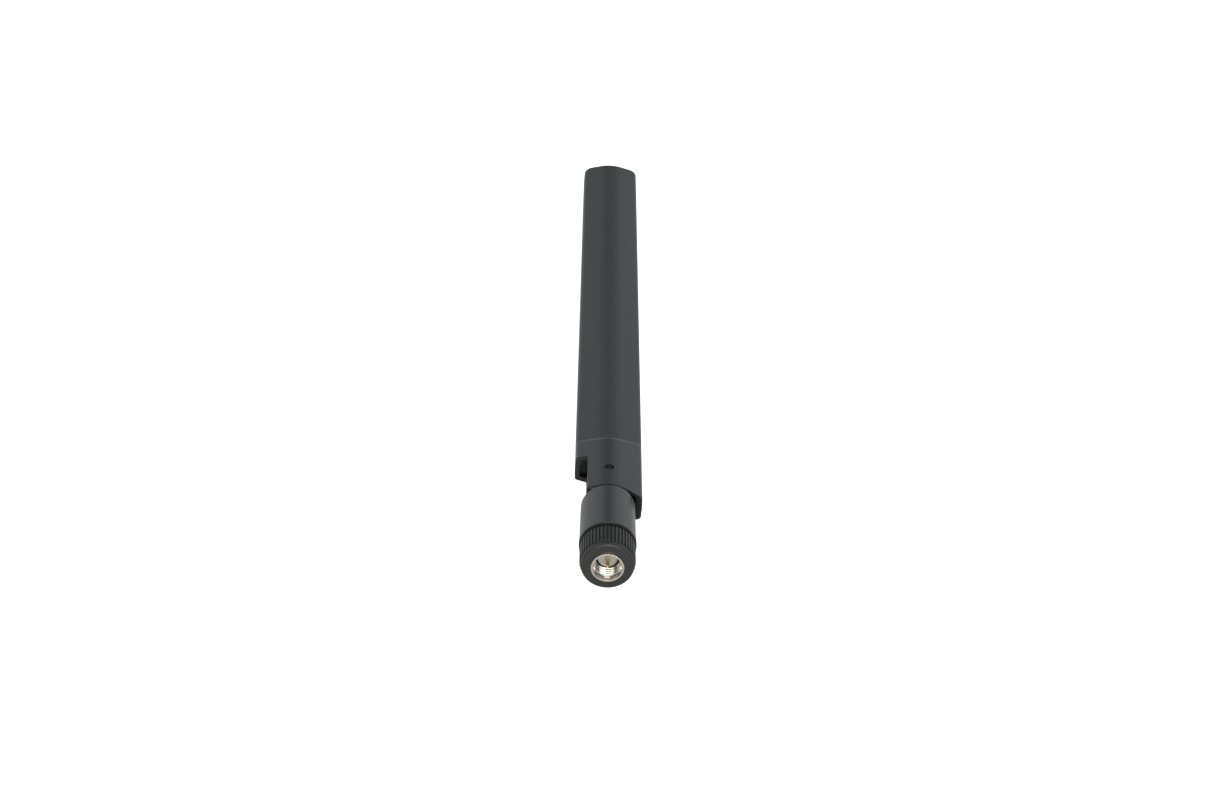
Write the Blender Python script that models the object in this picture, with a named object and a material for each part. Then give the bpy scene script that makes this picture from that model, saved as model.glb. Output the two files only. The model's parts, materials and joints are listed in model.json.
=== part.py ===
"""Hinged blade antenna with a coaxial screw connector, in metres, +Z up.

The antenna lies along +Y. The origin is on the connector's axis at its reference plane, where the plug's
ferrule meets the jack. The nut's mouth faces -Y, the blade runs to +Y with its broad faces up and down,
and the blade folds towards -X about the hinge axis, which is parallel to Z.
"""

import math

import bmesh
import bpy
from mathutils import Matrix, Vector

mm = 0.001

# Clearances between separate pieces
seat_gap = 0.3 * mm      # between pieces that rest on or in each other
close_gap = 0.15 * mm    # around the small turned pieces of the connector

# Coupling nut: black ribbed grip moulded over a plated threaded sleeve
nut_mouth = 3.25 * mm            # from the reference plane forward to the grip's front face
nut_length = 7.2 * mm
grip_wall = 2.12 * mm            # from the sleeve out to the rim
grip_rim_rounding = 0.5 * mm
grip_nose_length = 1.2 * mm      # smooth nose ahead of the ribs
rib_rise = 0.43 * mm             # ribs above the rim
rib_depth = 0.42 * mm
rib_count = 46
sleeve_wall = 0.75 * mm
sleeve_proud = 0.5 * mm          # how far the sleeve stands out of the grip's face
jack_wall_space = 0.7 * mm       # between the ferrule and the middle of the internal thread
thread_length = 4.6 * mm

# Connector body
ferrule_radius = 2.3 * mm
ferrule_wall = 0.25 * mm
body_step = 0.2 * mm             # from the ferrule up to where the nut turns
shank_step = 0.2 * mm            # from there up to the shank pressed into the barrel
shank_length = 7.9 * mm
collar_step = 0.9 * mm           # collar between the nut and the barrel
bead_depth = 2.3 * mm            # behind the ferrule's shoulder
crimp_neck_wall = 0.55 * mm
crimp_neck_length = 3.0 * mm
crimp_wall = 0.4 * mm
pin_radius = 0.45 * mm
pin_base_radius = 0.62 * mm
pin_tail = 3.0 * mm              # behind the bead, where the cable's conductor joins it
pin_reach = 3.68 * mm            # ahead of the reference plane
ring_width = 0.4 * mm
ring_depth = 0.7 * mm
gasket_thickness = 0.3 * mm

# Cable
cable_radius = 0.685 * mm
core_radius = 0.3 * mm
cable_gap = 0.26 * mm

# Barrel
barrel_gap = 0.8 * mm            # open groove between the nut and the barrel
barrel_length = 15.7 * mm
barrel_lip_radius = 6.52 * mm
barrel_lip_length = 1.0 * mm
barrel_middle_radius = 6.40 * mm
barrel_top_radius = 6.27 * mm
barrel_edge = 0.45 * mm

# Hinge
pivot_above_barrel = 9.9 * mm
tongue_half_width = 5.0 * mm
tongue_half_thickness = 1.7 * mm
tongue_end_gap = 1.9 * mm        # from the tongue's round end to the end of the yoke's hollow
fold_gap = 0.7 * mm              # between the tongue's side and the notch's upper edge, folded
swing_gap = 0.3 * mm             # between the yoke's swinging corner and the barrel
yoke_above_barrel = 0.3 * mm
yoke_above_pivot = 12.6 * mm     # from the pivot up to the seam with the radome
pivot_pin_radius = 1.0 * mm
pivot_hole_radius = 1.15 * mm
pivot_pin_recess = 0.75 * mm
washer_radius = 2.9 * mm
washer_thickness = 0.3 * mm
pad_radius = 3.2 * mm
notch_below_pivot = 6.8 * mm     # where the yoke's lower corner starts to be cut away
spigot_length = 6.8 * mm

# Blade section and length
blade_half_width = 7.93 * mm     # at mid-thickness
blade_draft = 0.12 * mm          # the sides lean in by this much towards the faces
blade_half_height = 4.7 * mm     # at the ridge
ridge_half_width = 1.6 * mm
face_slope = 0.258
ridge_rounding = 5.0 * mm
corner_rounding = 0.85 * mm
wall = 1.1 * mm
radome_length = 158.0 * mm
tip_rounding = 3.2 * mm
tip_edge_rounding = 1.2 * mm

# Board and aerial inside the radome
board_start = 10.0 * mm          # above the spigot
board_end_gap = 10.0 * mm        # below the inside of the tip
board_thickness = 0.8 * mm
board_side_gap = 0.6 * mm
copper_thickness = 0.25 * mm
feed_share = 0.47                # where the feed sits along the board
feed_gap = 1.2 * mm
copper_edge = 0.8 * mm           # bare margin of the board
copper_beside_cable = 0.8 * mm
pad_thickness = 0.35 * mm
pad_length = 15.0 * mm
pad_half_width = 3.0 * mm
shrink_length = 7.5 * mm
shrink_wall = 0.3 * mm

# Radii that follow from the ferrule outwards, and the yoke's corner
face_lean = math.sqrt(1.0 + face_slope**2)
thread_radius = ferrule_radius + jack_wall_space
sleeve_radius = thread_radius + sleeve_wall
grip_rim_radius = sleeve_radius + grip_wall
grip_radius = grip_rim_radius + rib_rise
body_radius = ferrule_radius + body_step
shank_radius = body_radius + shank_step
crimp_neck_radius = cable_radius + cable_gap + crimp_neck_wall
corner_foot = math.sqrt(
    (pivot_above_barrel - swing_gap) ** 2 - (pivot_above_barrel - yoke_above_barrel) ** 2
)

# Places along the axis, worked out from the sizes above
grip_face = -nut_mouth
nut_rear = grip_face + nut_length
barrel_start = nut_rear + barrel_gap
barrel_end = barrel_start + barrel_length
pivot_y = barrel_end + pivot_above_barrel
yoke_start = barrel_end + yoke_above_barrel
seam_y = pivot_y + yoke_above_pivot
radome_start = seam_y + seat_gap / 2
yoke_end = seam_y - seat_gap / 2
tip_y = seam_y + radome_length
cavity_end = pivot_y + tongue_half_width + tongue_end_gap
notch_end = pivot_y + tongue_half_width + fold_gap
spigot_end = yoke_end + spigot_length


def clear_scene():
    for item in list(bpy.data.objects):
        bpy.data.objects.remove(item, do_unlink=True)


def finish(name, colour, roughness, metallic=0.0):
    material = bpy.data.materials.new(name)
    material.use_nodes = True
    shader = material.node_tree.nodes["Principled BSDF"]
    shader.inputs["Base Color"].default_value = (*colour, 1.0)
    shader.inputs["Roughness"].default_value = roughness
    shader.inputs["Metallic"].default_value = metallic
    return material


def to_object(name, mesh_builder, material=None):
    """Turns a bmesh into an object; one without a material is a hidden tool for Booleans."""
    bmesh.ops.recalc_face_normals(mesh_builder, faces=mesh_builder.faces)
    mesh = bpy.data.meshes.new(name)
    mesh_builder.to_mesh(mesh)
    mesh_builder.free()
    mesh.shade_smooth()
    mesh.set_sharp_from_angle(angle=math.radians(35))
    item = bpy.data.objects.new(name, mesh)
    bpy.context.scene.collection.objects.link(item)
    if material is None:
        item.hide_render = True
        item.display_type = "WIRE"
    else:
        mesh.materials.append(material)
    return item


def turned(name, profile, material=None, sides=48):
    """A profile of (radius, y) points spun around the Y axis; it closes on itself or on the axis."""
    builder = bmesh.new()
    points = [builder.verts.new((radius, y, 0.0)) for radius, y in profile]
    edges = [builder.edges.new(pair) for pair in zip(points, points[1:])]
    if profile[0][0] > 0.0:
        edges.append(builder.edges.new((points[-1], points[0])))
    bmesh.ops.spin(
        builder, geom=points + edges, cent=(0, 0, 0), axis=(0, 1, 0),
        angle=math.tau, steps=sides, use_merge=True,
    )
    bmesh.ops.remove_doubles(builder, verts=builder.verts, dist=0.0005 * mm)
    return to_object(name, builder, material)


def skin(builder, rings, wrap):
    """Quads between rings of vertices; wrap also joins the last ring to the first."""
    pairs = list(zip(rings, rings[1:]))
    if wrap:
        pairs.append((rings[-1], rings[0]))
    for lower, upper in pairs:
        for index in range(len(lower)):
            after = (index + 1) % len(lower)
            builder.faces.new((lower[index], lower[after], upper[after], upper[index]))


def lofted(name, loops, material=None, wrap=False):
    """A solid through loops of 3D points: capped at both ends, or wrapped round into a ring."""
    builder = bmesh.new()
    rings = [[builder.verts.new(point) for point in loop] for loop in loops]
    skin(builder, rings, wrap)
    if not wrap:
        builder.faces.new(rings[0])
        builder.faces.new(rings[-1])
    return to_object(name, builder, material)


def prism(name, outline, low, high, material=None):
    """An outline of (x, y) points carried from z = low to z = high."""
    loops = [[(x, y, z) for x, y in outline] for z in (low, high)]
    return lofted(name, loops, material)


def block(name, low, high, material=None):
    outline = [(low[0], low[1]), (high[0], low[1]), (high[0], high[1]), (low[0], high[1])]
    return prism(name, outline, low[2], high[2], material)


def upright(name, radius, low, high, x=0.0, y=0.0, sides=40):
    """A round tool or pin parallel to Z."""
    outline = [
        (x + radius * math.cos(math.tau * k / sides), y + radius * math.sin(math.tau * k / sides))
        for k in range(sides)
    ]
    return prism(name, outline, low, high)


def combine(item, tool, operation):
    change = item.modifiers.new(f"{operation.lower()} {tool.name}", "BOOLEAN")
    change.operation = operation
    change.solver = "EXACT"
    change.object = tool


def rounded_outline(corners, steps=4):
    """Corner points (x, z, radius) in order, each replaced by an arc that touches both its sides."""
    points = []
    for index, (x, z, radius) in enumerate(corners):
        corner = Vector((x, z))
        back = (Vector(corners[index - 1][:2]) - corner).normalized()
        ahead = (Vector(corners[(index + 1) % len(corners)][:2]) - corner).normalized()
        if radius <= 0.0:
            points.append(tuple(corner))
            continue
        half_angle = back.angle(ahead) / 2
        centre = corner + (back + ahead).normalized() * (radius / math.sin(half_angle))
        reach = radius / math.tan(half_angle)
        start = corner + back * reach - centre
        sweep = start.angle_signed(corner + ahead * reach - centre)
        for step in range(steps + 1):
            turn = Matrix.Rotation(-sweep * step / steps, 2)
            points.append(tuple(centre + turn @ start))
    return points


def blade_section(inset=0.0, narrow=0.0, thin=0.0):
    """The blade's hexagonal section, offset inwards by inset, then made narrower and thinner."""
    top = blade_half_height - inset - thin
    ridge = ridge_half_width - inset * (face_lean - 1.0) / face_slope
    middle = blade_half_width - inset - narrow
    side = middle - blade_draft
    shoulder = top - face_slope * (side - ridge)
    ridge_radius = ridge_rounding - inset
    corner_radius = max(corner_rounding - inset, 0.2 * mm)
    upper = [(ridge, top, ridge_radius), (side, shoulder, corner_radius), (middle, 0.0, 0.0)]
    lower = [(side, -shoulder, corner_radius), (ridge, -top, ridge_radius)]
    right = upper + lower
    left = [(-x, z, radius) for x, z, radius in reversed(right)]
    return rounded_outline(right + left)


def at(y, section):
    return [(x, y, z) for x, z in section]


def tip_loops(end, inset, steps=7):
    """Sections over the rounded tip: the sides follow one arc, the faces a tighter one."""
    side_radius = tip_rounding - inset
    face_radius = max(tip_edge_rounding - inset, 0.2 * mm)
    loops = []
    for step in range(steps + 1):
        angle = math.pi / 2 * step / steps
        y = end - side_radius + side_radius * math.sin(angle)
        into_face = max(y - (end - face_radius), 0.0) / face_radius
        thin = face_radius * (1.0 - math.sqrt(max(1.0 - into_face**2, 0.0)))
        narrow = side_radius * (1.0 - math.cos(angle))
        loops.append(at(y, blade_section(inset, narrow, thin)))
    return loops


def make_grip(material):
    """Round nose with a rolled rim, then straight ribs, open groove side at the rear."""
    per_rib = 4
    count = rib_count * per_rib
    valley = grip_radius - rib_depth

    def ring(radius, y, ribbed=False):
        points = []
        for k in range(count):
            reach = radius if not ribbed or k % per_rib < per_rib // 2 else radius - rib_depth
            angle = math.tau * k / count
            points.append((reach * math.cos(angle), y, reach * math.sin(angle)))
        return points

    nose_end = grip_face + grip_nose_length
    bore = sleeve_radius + close_gap
    face_edge = grip_rim_radius - grip_rim_rounding
    loops = [ring(bore, nut_rear), ring(bore, grip_face), ring(face_edge, grip_face)]
    for step in (1, 2, 3):
        angle = math.pi / 2 * step / 3
        radius = face_edge + grip_rim_rounding * math.sin(angle)
        loops.append(ring(radius, grip_face + grip_rim_rounding * (1.0 - math.cos(angle))))
    loops.append(ring(grip_rim_radius, nose_end - 0.1 * mm))
    loops.append(ring(valley, nose_end, False))
    loops.append(ring(grip_radius, nose_end + rib_depth, True))
    loops.append(ring(grip_radius, nut_rear - rib_depth, True))
    loops.append(ring(valley, nut_rear, False))
    return lofted("nut_grip", loops, material, wrap=True)


def make_sleeve(material):
    """Threaded bore at the mouth, a smaller bore with a ring groove at the rear."""
    front = grip_face - sleeve_proud
    thread_end = front + thread_length
    rear = nut_rear - seat_gap
    bore = body_radius + close_gap + 0.1 * mm
    groove_radius = body_radius + ring_depth / 2 + 2 * close_gap
    groove = ring_place() - close_gap, ring_place() + ring_width + close_gap
    profile = [
        (sleeve_radius, front), (thread_radius + 0.25 * mm, front),
        (thread_radius, front + 0.35 * mm), (thread_radius, thread_end), (bore, thread_end),
        (bore, groove[0]), (groove_radius, groove[0]), (groove_radius, groove[1]),
        (bore, groove[1]), (bore, rear), (sleeve_radius, rear),
    ]
    return turned("nut_sleeve", profile, material)


def ring_place():
    """Front of the retaining ring, midway along the smooth part of the sleeve's bore."""
    thread_end = grip_face - sleeve_proud + thread_length
    return (thread_end + nut_rear - seat_gap - ring_width) / 2


def make_connector(metal, gold, pale, rubber):
    """Plug body, retaining ring, gasket, bead, pin and crimp sleeve, all on the axis."""
    ring_start = ring_place()
    groove_radius = body_radius - ring_depth / 2 - close_gap
    flange = grip_face - sleeve_proud + thread_length + close_gap
    collar_radius = shank_radius + collar_step
    collar_start = nut_rear + close_gap
    collar_end = barrel_start - close_gap
    bead_radius = ferrule_radius - ferrule_wall - close_gap
    bead_end = flange + bead_depth
    cable_bore = cable_radius + cable_gap
    shank_end = barrel_start + shank_length
    neck_end = shank_end + crimp_neck_length
    turned("connector_body", [
        (ferrule_radius, 0.0), (ferrule_radius, flange), (body_radius, flange),
        (body_radius, ring_start - close_gap), (groove_radius, ring_start - close_gap),
        (groove_radius, ring_start + ring_width + close_gap),
        (body_radius, ring_start + ring_width + close_gap), (body_radius, collar_start),
        (collar_radius, collar_start), (collar_radius, collar_end), (shank_radius, collar_end),
        (shank_radius, shank_end), (crimp_neck_radius, shank_end), (crimp_neck_radius, neck_end),
        (cable_bore, neck_end), (cable_bore, bead_end + close_gap),
        (ferrule_radius - ferrule_wall, bead_end + close_gap), (ferrule_radius - ferrule_wall, 0.0),
    ], metal)
    turned("dielectric_bead", [
        (bead_radius, 0.1 * mm), (bead_radius, bead_end),
        (pin_base_radius + close_gap, bead_end), (pin_base_radius + close_gap, 0.1 * mm),
    ], pale)
    pin_end = bead_end + pin_tail
    turned("centre_pin", [
        (0.0, -pin_reach), (0.6 * pin_radius, -pin_reach + 0.05 * mm),
        (pin_radius, -pin_reach + 0.35 * mm), (pin_radius, -0.9 * mm),
        (pin_base_radius, -0.8 * mm), (pin_base_radius, pin_end), (0.0, pin_end),
    ], gold, sides=32)
    turned("retaining_ring", [
        (body_radius - ring_depth / 2, ring_start), (body_radius + ring_depth / 2, ring_start),
        (body_radius + ring_depth / 2, ring_start + ring_width),
        (body_radius - ring_depth / 2, ring_start + ring_width),
    ], metal)
    gasket_end = flange - 2 * close_gap
    turned("face_gasket", [
        (ferrule_radius + close_gap, gasket_end - gasket_thickness),
        (thread_radius - close_gap, gasket_end - gasket_thickness),
        (thread_radius - close_gap, gasket_end), (ferrule_radius + close_gap, gasket_end),
    ], rubber)
    sleeve_bore = crimp_neck_radius + close_gap
    turned("crimp_sleeve", [
        (sleeve_bore, shank_end + close_gap), (sleeve_bore + crimp_wall, shank_end + close_gap),
        (sleeve_bore + crimp_wall, neck_end + seat_gap), (sleeve_bore, neck_end + seat_gap),
    ], metal)
    return pin_end, neck_end


def make_barrel(material, neck_end):
    """Round barrel with the connector's bore, joined to the flat hinge tongue with its cable slot."""
    shank_bore = shank_radius + seat_gap
    bore_end = neck_end + 0.8 * mm
    cable_bore = cable_radius + cable_gap
    lip_end = barrel_start + barrel_lip_length
    middle = barrel_start + 0.4 * barrel_length
    barrel = turned("barrel", [
        (shank_bore, barrel_start), (barrel_lip_radius - 0.3 * mm, barrel_start),
        (barrel_lip_radius, barrel_start + 0.35 * mm), (barrel_lip_radius, lip_end),
        (barrel_middle_radius + 0.08 * mm, lip_end + 0.9 * mm), (barrel_middle_radius, middle),
        (barrel_top_radius, barrel_end - barrel_edge),
        (barrel_top_radius - 0.3 * barrel_edge, barrel_end - 0.3 * barrel_edge),
        (barrel_top_radius - barrel_edge, barrel_end), (cable_bore, barrel_end),
        (cable_bore, bore_end), (shank_bore, bore_end),
    ], material)
    arc_steps = 24
    outline = [(-tongue_half_width, barrel_end - 1.0 * mm), (tongue_half_width, barrel_end - 1.0 * mm)]
    for step in range(arc_steps + 1):
        angle = math.pi * step / arc_steps
        x = tongue_half_width * math.cos(angle)
        outline.append((x, pivot_y + tongue_half_width * math.sin(angle)))
    tongue = prism("tongue_tool", outline, -tongue_half_thickness, tongue_half_thickness)
    combine(barrel, tongue, "UNION")
    slot = cable_radius + cable_gap
    past = tongue_half_width + 1.0 * mm
    slot_outline = [
        (-slot, bore_end - 0.5 * mm), (slot, bore_end - 0.5 * mm), (slot, pivot_y + past),
        (-past, pivot_y + past), (-past, pivot_y - 2.0 * mm), (-slot, pivot_y - 5.0 * mm),
    ]
    combine(barrel, prism("slot_tool", slot_outline, -slot + 0.08 * mm, slot - 0.08 * mm), "DIFFERENCE")
    pin_hole = upright("barrel_pin_tool", pivot_hole_radius, -2 * tongue_half_thickness,
                       2 * tongue_half_thickness, y=pivot_y)
    combine(barrel, pin_hole, "DIFFERENCE")


def make_yoke(name, side, material):
    """One half of the hinge housing; side is 1 for the front half and -1 for the back half."""
    half = lofted(name, [at(yoke_start, blade_section()), at(yoke_end, blade_section())], material)
    spigot_section = blade_section(wall + seat_gap)
    spigot_loops = [at(yoke_end - 1.0 * mm, spigot_section), at(spigot_end, spigot_section)]
    combine(half, lofted(f"{name}_spigot_tool", spigot_loops), "UNION")
    hollow = blade_section(wall)
    hollow_loops = [at(yoke_start - 1.0 * mm, hollow), at(cavity_end, hollow)]
    combine(half, lofted(f"{name}_hollow_tool", hollow_loops), "DIFFERENCE")
    pad_low = side * (tongue_half_thickness + washer_thickness + 2 * seat_gap - 0.1 * mm)
    pad_high = side * (blade_half_height - wall / 2)
    low, high = sorted((pad_low, pad_high))
    combine(half, upright(f"{name}_pad_tool", pad_radius, low, high, y=pivot_y), "UNION")
    low, high = sorted((0.0, side * 2 * blade_half_height))
    combine(half, upright(f"{name}_hole_tool", pivot_hole_radius, low, high, y=pivot_y), "DIFFERENCE")
    channel = cable_radius + cable_gap
    channel_profile = [
        (0.0, cavity_end - 1.0 * mm), (channel, cavity_end - 1.0 * mm),
        (channel, spigot_end + 1.0 * mm), (0.0, spigot_end + 1.0 * mm),
    ]
    combine(half, turned(f"{name}_channel_tool", channel_profile, sides=24), "DIFFERENCE")
    outside = blade_half_width + 1.0 * mm
    notch = [
        (-outside, yoke_start - 1.0 * mm), (-corner_foot, yoke_start - 1.0 * mm),
        (-corner_foot, yoke_start), (-tongue_half_width, pivot_y - notch_below_pivot),
        (-tongue_half_width, notch_end), (-outside, notch_end),
    ]
    tall = blade_half_height + 1.0 * mm
    combine(half, prism(f"{name}_notch_tool", notch, -tall, tall), "DIFFERENCE")
    split = side * seat_gap / 2
    low, high = sorted((split, -side * tall))
    other_half = block(f"{name}_split_tool", (-outside, yoke_start - 1.0 * mm, low),
                       (outside, spigot_end + 1.0 * mm, high))
    combine(half, other_half, "DIFFERENCE")


def make_pivot(name, washer_name, side, metal, washer_metal):
    """A short pin through the yoke's hole into the tongue, and the washer between them."""
    outer = blade_half_height - pivot_pin_recess
    inner = cable_radius + cable_gap + 0.1 * mm
    low, high = sorted((side * inner, side * outer))
    pin = upright(name, pivot_pin_radius, low, high, y=pivot_y)
    pin.hide_render = False
    pin.display_type = "TEXTURED"
    pin.data.materials.append(metal)
    washer_bottom = tongue_half_thickness + 0.25 * mm
    profile_low, profile_high = sorted((side * washer_bottom, side * (washer_bottom + washer_thickness)))
    washer = turned(washer_name, [
        (pivot_hole_radius + close_gap, profile_low), (washer_radius, profile_low),
        (washer_radius, profile_high), (pivot_hole_radius + close_gap, profile_high),
    ], washer_metal, sides=40)
    washer.matrix_world = Matrix.Translation((0.0, pivot_y, 0.0)) @ Matrix.Rotation(math.pi / 2, 4, "X")


def make_radome(material):
    outer = [at(radome_start, blade_section())] + tip_loops(tip_y, 0.0)
    inner = [at(radome_start, blade_section(wall))] + tip_loops(tip_y - wall, wall)
    return lofted("radome", list(reversed(inner)) + outer, material)


def cable(name, start, end, radius, material):
    return turned(name, [(0.0, start), (radius, start), (radius, end), (0.0, end)], material, sides=20)


def make_aerial(board_green, copper, solder, jacket, pale, black, foam):
    """Board, printed copper, solder, cable ends, heat-shrink and foam pads inside the radome."""
    board_low = spigot_end + board_start
    board_high = tip_y - wall - board_end_gap
    cable_floor = -(cable_radius + cable_gap)
    board_bottom = cable_floor - board_thickness
    room_above = blade_half_height - wall * face_lean + board_bottom - close_gap
    half_board = min(blade_half_width - wall - board_side_gap, ridge_half_width + room_above / face_slope)
    block("antenna_board", (-half_board, board_low, board_bottom),
          (half_board, board_high, cable_floor), board_green)
    copper_low = cable_floor + close_gap
    copper_high = copper_low + copper_thickness
    feed_y = board_low + feed_share * (board_high - board_low)
    half_copper = half_board - copper_edge
    neck = 0.35 * half_copper
    upper_low = feed_y + feed_gap + 2.5 * mm
    upper_arm = [
        (-neck, upper_low), (neck, upper_low), (half_copper, upper_low + 6.0 * mm),
        (half_copper, board_high - copper_edge), (-half_copper, board_high - copper_edge),
        (-half_copper, upper_low + 6.0 * mm),
    ]
    prism("copper_upper_arm", upper_arm, copper_low, copper_high, copper)
    inside = cable_radius + copper_beside_cable
    for arm_name, side in (("copper_lower_left_arm", -1), ("copper_lower_right_arm", 1)):
        outline = [
            (side * inside, board_low + 14.0 * mm), (side * half_copper, board_low + 14.0 * mm),
            (side * half_copper, feed_y - 8.0 * mm), (side * inside, feed_y - 3.0 * mm),
        ]
        prism(arm_name, outline, copper_low, copper_high, copper)
    block("copper_feed_tab", (-neck, feed_y, copper_low), (neck, upper_low - feed_gap / 2, copper_high), copper)
    core_end = feed_y + 1.0 * mm
    cable_end = feed_y - 2.6 * mm
    cable("coax_core", cable_end + close_gap, core_end, core_radius, pale)
    blob_low = core_end + close_gap
    blob_radius = -copper_high - close_gap
    dome = [
        (0.0, blob_low), (0.75 * blob_radius, blob_low + 0.1 * mm), (blob_radius, blob_low + 0.6 * mm),
        (0.7 * blob_radius, blob_low + 1.1 * mm), (0.0, blob_low + 1.25 * mm),
    ]
    turned("feed_solder", dome, solder, sides=20)
    arch_inner = cable_radius + close_gap
    arch_outer = arch_inner + 0.45 * mm
    angles = [math.pi * (step / 10 * 1.1 - 0.05) for step in range(11)]
    arch = [(arch_outer * math.cos(a), arch_outer * math.sin(a)) for a in angles]
    arch += [(arch_inner * math.cos(a), arch_inner * math.sin(a)) for a in reversed(angles)]
    lofted("braid_solder", [at(cable_end - 4.0 * mm, arch), at(cable_end - 1.6 * mm, arch)], solder)
    shrink_low = spigot_end + 1.0 * mm
    cable("coax_blade", cavity_end - 1.3 * mm, cable_end, cable_radius, jacket)
    bore = cable_radius + close_gap
    turned("heat_shrink", [
        (bore, shrink_low), (bore + shrink_wall, shrink_low),
        (bore + shrink_wall, shrink_low + shrink_length), (bore, shrink_low + shrink_length),
    ], black, sides=24)
    pad_high = board_bottom - close_gap
    for pad_name, share in (("board_pad_lower", 0.12), ("board_pad_upper", 0.8)):
        pad_y = board_low + share * (board_high - board_low)
        block(pad_name, (-pad_half_width, pad_y, pad_high - pad_thickness),
              (pad_half_width, pad_y + pad_length, pad_high), foam)


def main():
    clear_scene()
    soft_black = finish("soft black plastic", (0.052, 0.057, 0.055), 0.55)
    grip_black = finish("grip black plastic", (0.028, 0.028, 0.030), 0.45)
    nickel = finish("nickel plate", (0.62, 0.59, 0.55), 0.28, 1.0)
    gold = finish("gold plate", (0.80, 0.55, 0.22), 0.25, 1.0)
    steel = finish("pivot steel", (0.10, 0.10, 0.11), 0.45, 1.0)
    pale = finish("pale dielectric", (0.62, 0.62, 0.63), 0.5)
    rubber = finish("gasket rubber", (0.30, 0.05, 0.04), 0.7)
    board_green = finish("board", (0.05, 0.16, 0.07), 0.5)
    copper = finish("copper", (0.72, 0.36, 0.2), 0.35, 1.0)
    solder = finish("solder", (0.6, 0.6, 0.62), 0.3, 1.0)
    jacket = finish("cable jacket", (0.02, 0.02, 0.022), 0.5)
    foam = finish("foam", (0.14, 0.14, 0.14), 0.95)

    make_grip(grip_black)
    make_sleeve(nickel)
    pin_end, neck_end = make_connector(nickel, gold, pale, rubber)
    make_barrel(soft_black, neck_end)
    for name, side in (("yoke_front", 1), ("yoke_back", -1)):
        make_yoke(name, side, soft_black)
    make_pivot("pivot_pin_front", "spring_washer", 1, steel, nickel)
    make_pivot("pivot_pin_back", "thrust_washer", -1, steel, nickel)
    make_radome(soft_black)
    flex_start = pivot_y - tongue_half_width
    flex_end = cavity_end - 1.6 * mm
    cable("coax_base", pin_end + seat_gap, flex_start - seat_gap, cable_radius, jacket)
    cable("coax_flex", flex_start, flex_end, cable_radius, jacket)
    make_aerial(board_green, copper, solder, jacket, pale, jacket, foam)


main()
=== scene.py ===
# %% [markdown]
# # A hinged blade antenna, dressed around its working model
#
# The real thing is a slim moulded blade on a folding hinge, with a small screw plug at its foot. The
# working model already holds every size, so this file only makes the surfaces that the eye meets: finer
# shapes over the same sizes, and finishes with the grain that moulded plastic and plated brass have.
#
# The first cell loads that model as a fixed frame. Everything later is placed from the frame's own boxes
# and joints, so nothing has to be fitted by eye.

# %% Load the frame
import json
import math

import bpy
import numpy as np
from mathutils import Matrix, Vector


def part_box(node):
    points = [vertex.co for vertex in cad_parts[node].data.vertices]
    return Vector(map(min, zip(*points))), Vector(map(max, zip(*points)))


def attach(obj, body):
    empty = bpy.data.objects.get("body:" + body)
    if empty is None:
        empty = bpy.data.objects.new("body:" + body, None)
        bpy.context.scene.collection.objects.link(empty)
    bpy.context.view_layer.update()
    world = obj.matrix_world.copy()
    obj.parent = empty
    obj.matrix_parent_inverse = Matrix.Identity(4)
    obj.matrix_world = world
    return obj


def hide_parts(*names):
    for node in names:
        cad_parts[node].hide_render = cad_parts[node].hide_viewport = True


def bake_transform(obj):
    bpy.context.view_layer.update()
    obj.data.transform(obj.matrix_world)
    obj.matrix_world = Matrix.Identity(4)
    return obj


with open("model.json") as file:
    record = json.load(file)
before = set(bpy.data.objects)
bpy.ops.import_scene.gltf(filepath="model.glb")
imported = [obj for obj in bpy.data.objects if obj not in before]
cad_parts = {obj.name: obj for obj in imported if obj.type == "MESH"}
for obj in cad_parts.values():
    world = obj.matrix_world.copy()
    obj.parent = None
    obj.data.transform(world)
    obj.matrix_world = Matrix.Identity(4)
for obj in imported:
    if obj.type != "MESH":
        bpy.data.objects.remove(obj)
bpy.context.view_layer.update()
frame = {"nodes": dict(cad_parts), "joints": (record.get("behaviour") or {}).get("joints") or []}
mm = 0.001

# %% [markdown]
# ## Where things are
#
# A turned part is described best by stations along its axis. Here the axis is Y, from the plug's mouth to
# the blade's tip. Each station is read from the box of the piece that ends there, and the hinge's place
# comes from its joint, so a change in the working model moves the finer shapes with it.

# %% Stations along the axis
joints = {joint["name"]: joint for joint in frame["joints"]}
pivot_y = joints["blade_tilt"]["pos_m"][1]
grip_low, grip_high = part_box("nut_grip")
sleeve_low, sleeve_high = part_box("nut_sleeve")
barrel_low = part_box("barrel")[0]
yoke_low, yoke_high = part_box("yoke_front")
radome_low, radome_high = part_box("radome")
pin_low, pin_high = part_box("centre_pin")

grip_face, nut_rear = grip_low.y, grip_high.y
mouth = Vector((0.0, grip_face, 0.0))
barrel_start = barrel_low.y
yoke_start = yoke_low.y
barrel_end = yoke_start - 0.3 * mm
tip_y = radome_high.y
seam_y = radome_low.y - 0.15 * mm
print(f"pivot {pivot_y / mm:.2f} mm, seam {seam_y / mm:.2f} mm and tip {tip_y / mm:.2f} mm past the plug")

# %% [markdown]
# ## The camera
#
# A product picture is taken with a fairly long lens from above the plug, looking along the blade. The
# camera is easiest to place backwards: say where the plug's mouth sits in the camera's own axes (right,
# up, back) and how the antenna is turned there, then invert that to get the camera in the antenna's frame.

# %% Camera
lens_mm = 60.3
blade_in_camera = Vector((0.0036, 0.5163, -0.8564)).normalized()   # the blade's direction: up and away
roll = math.radians(3.5)                                           # the antenna leans on its round barrel
mouth_in_camera = Vector((0.12, -35.78, -449.6)) * mm


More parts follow.
